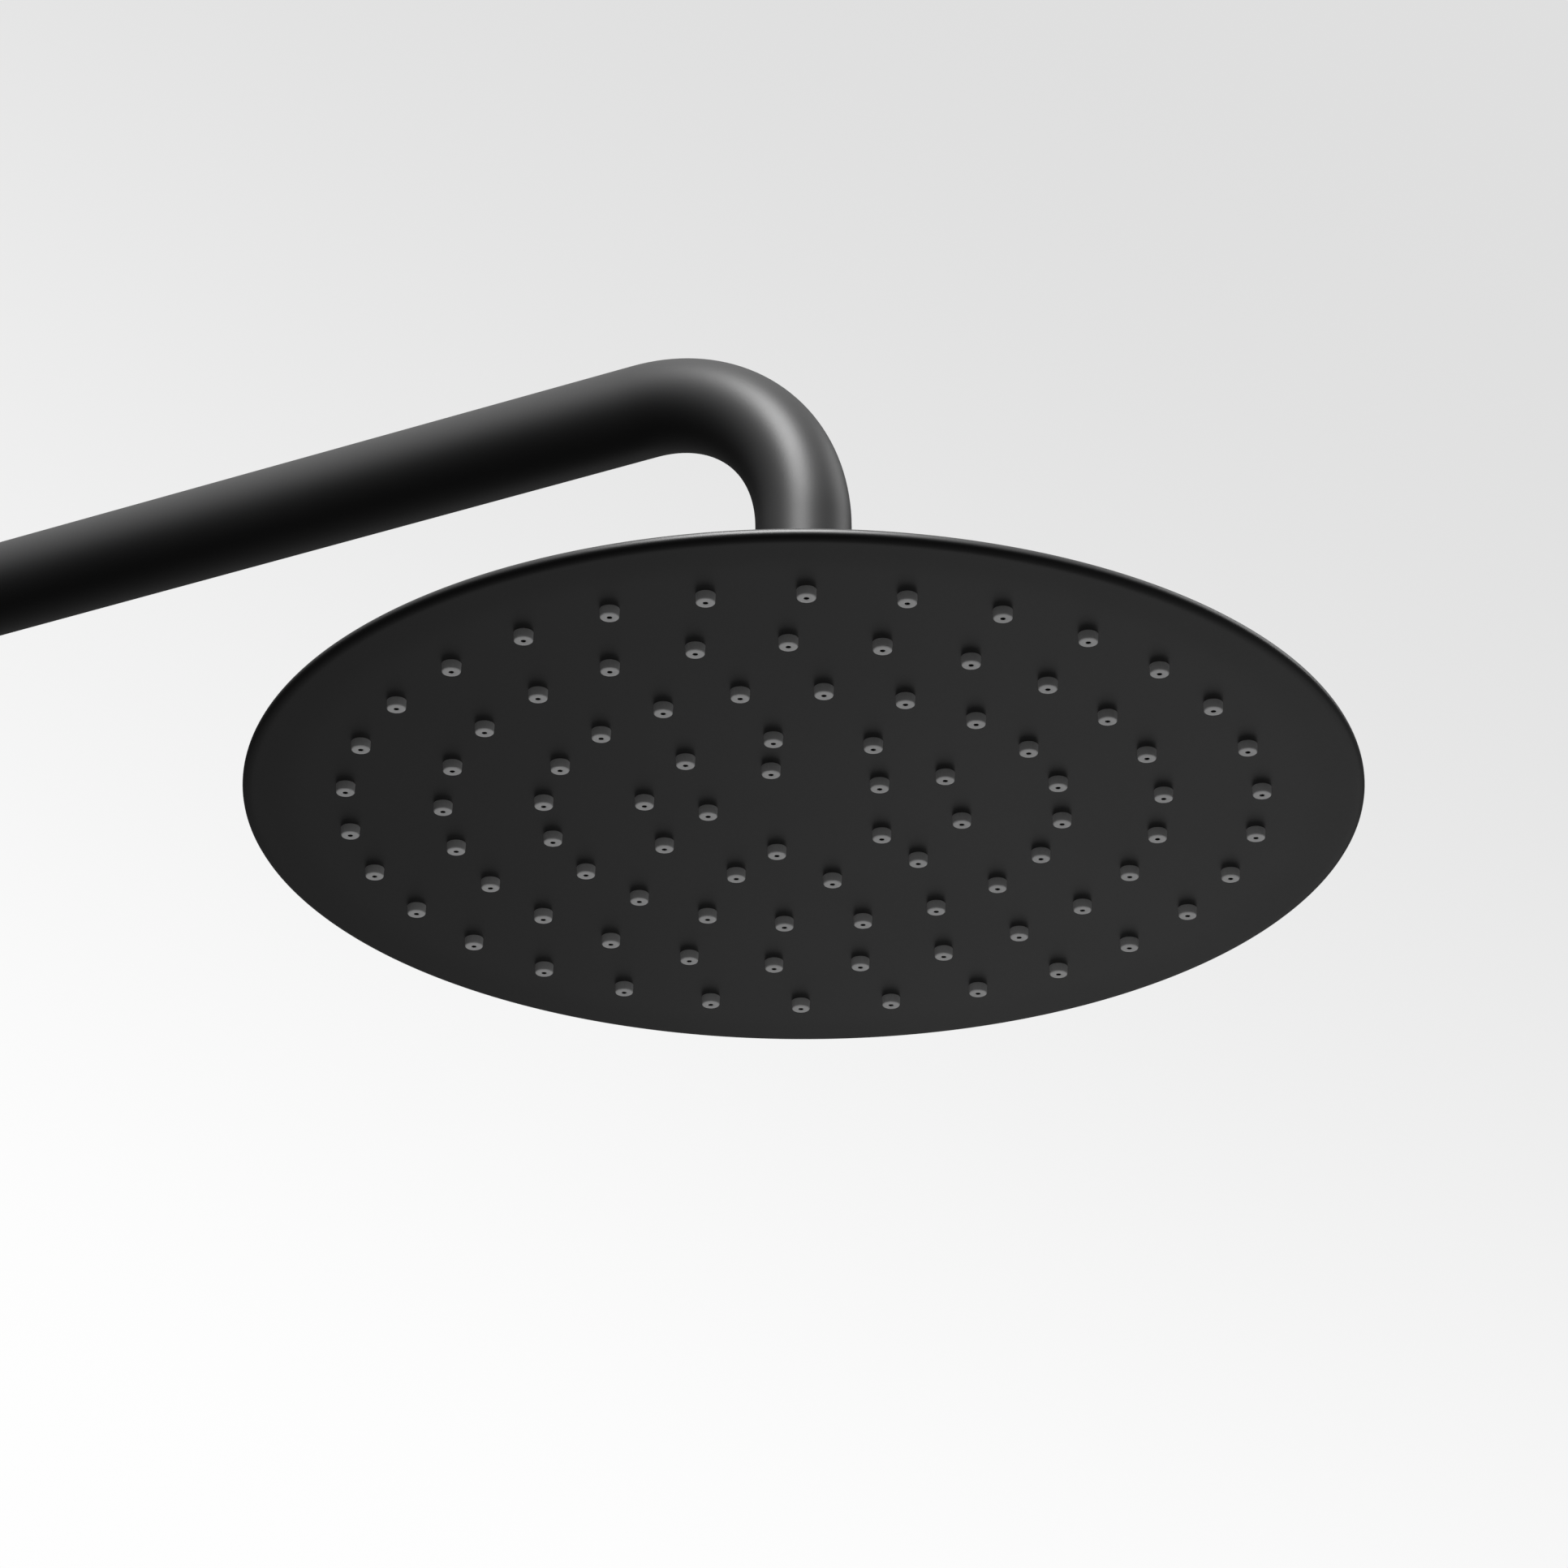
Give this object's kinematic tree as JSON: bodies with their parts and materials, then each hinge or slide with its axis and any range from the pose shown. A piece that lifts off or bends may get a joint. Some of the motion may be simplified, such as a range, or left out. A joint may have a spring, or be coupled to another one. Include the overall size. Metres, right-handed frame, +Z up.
{
  "type": "rainfall shower column",
  "caption": "Wall-mounted rain-shower column: slim round spray head on a ball joint and bent tube arm, riser pipe, wall bracket and thermostatic bar valve.",
  "frame": {"origin": "centre of the upper wall bracket's back face, on the wall", "axes": "+Z up along the riser, +Y into the wall, +X to the right for someone facing the wall"},
  "size_m": [0.2808, 0.579, 1.043],
  "materials": {
    "matt_black": "satin matt black powder coat over steel or brass",
    "spray_face": "matt black coat on thin pressed stainless sheet",
    "nozzle_rubber": "grey silicone, soft satin",
    "brass": "machined, unplated, out of sight",
    "steel": "plain stainless",
    "seal_rubber": "black sealing rubber",
    "white_polymer": "white acetal or nylon",
    "grey_polymer": "grey moulded polymer"
  },
  "bodies": {
    "column": {"shower_arm": "matt_black", "riser_pipe": "matt_black", "head_union_nut": "matt_black", "bracket_cover": "matt_black", "bracket_post": "matt_black", "valve_body": "matt_black", "riser_nut": "matt_black", "inlet_union_nut_hot": "matt_black", "inlet_union_nut_cold": "matt_black", "wall_flange_hot": "matt_black", "wall_flange_cold": "matt_black", "arm_end_fitting": "brass", "riser_coupling": "brass", "outlet_nipple": "brass", "inlet_connector_hot": "brass", "inlet_connector_cold": "brass", "temperature_cartridge_nut": "brass", "flow_cartridge_nut": "brass", "arm_filter_screen": "steel", "bracket_wall_plate": "steel", "bracket_grub_screw": "steel", "collar_screw_upper": "steel", "collar_screw_lower": "steel", "inlet_filter_hot": "steel", "inlet_filter_cold": "steel", "head_washer": "seal_rubber", "coupling_o_ring_upper": "seal_rubber", "coupling_o_ring_lower": "seal_rubber", "riser_washer": "seal_rubber", "inlet_washer_hot": "seal_rubber", "inlet_washer_cold": "seal_rubber", "temperature_cartridge": "white_polymer", "flow_cartridge": "white_polymer", "flow_regulator": "grey_polymer", "collar_liner": "grey_polymer", "check_valve_hot": "grey_polymer", "check_valve_cold": "grey_polymer", "temperature_stop_ring": "grey_polymer", "flow_stop_ring": "grey_polymer"},
    "ball": {"swivel_ball": "brass"},
    "head": {"spray_plate": "spray_face", "nozzle_mat": "nozzle_rubber", "top_shell": "matt_black", "head_boss": "brass", "ball_seat": "white_polymer", "ball_o_ring": "seal_rubber", "socket_ring": "matt_black"},
    "temperature_control": {"temperature_handle": "matt_black", "temperature_spindle": "brass", "temperature_handle_screw": "steel", "temperature_handle_cap": "matt_black"},
    "override_button": {"override_button": "matt_black", "button_spring": "steel"},
    "flow_control": {"flow_handle": "matt_black", "flow_spindle": "brass", "flow_handle_screw": "steel", "flow_handle_cap": "matt_black"}
  },
  "joints": [
    {"name": "head_spin", "type": "hinge", "parent": "column", "child": "ball", "pos_m": [0, -0.44, 0.0907], "axis": [0, 0, 1], "continuous": true},
    {"name": "head_tilt", "type": "hinge", "parent": "ball", "child": "head", "pos_m": [0, -0.44, 0.0907], "axis": [1, 0, 0], "range_deg": [-15, 15]},
    {"name": "temperature_turn", "type": "hinge", "parent": "column", "child": "temperature_control", "pos_m": [0.1, -0.06, -0.82], "axis": [1, 0, 0], "range_deg": [-160, 60]},
    {"name": "override_press", "type": "slide", "parent": "temperature_control", "child": "override_button", "axis": [0, 0, -1], "range_m": [0, 0.0022], "stiffness_N_per_m": 700, "springref_m": -0.001, "deforming": ["button_spring"]},
    {"name": "flow_turn", "type": "hinge", "parent": "column", "child": "flow_control", "pos_m": [-0.1, -0.06, -0.82], "axis": [-1, 0, 0], "range_deg": [0, 90]}
  ]
}
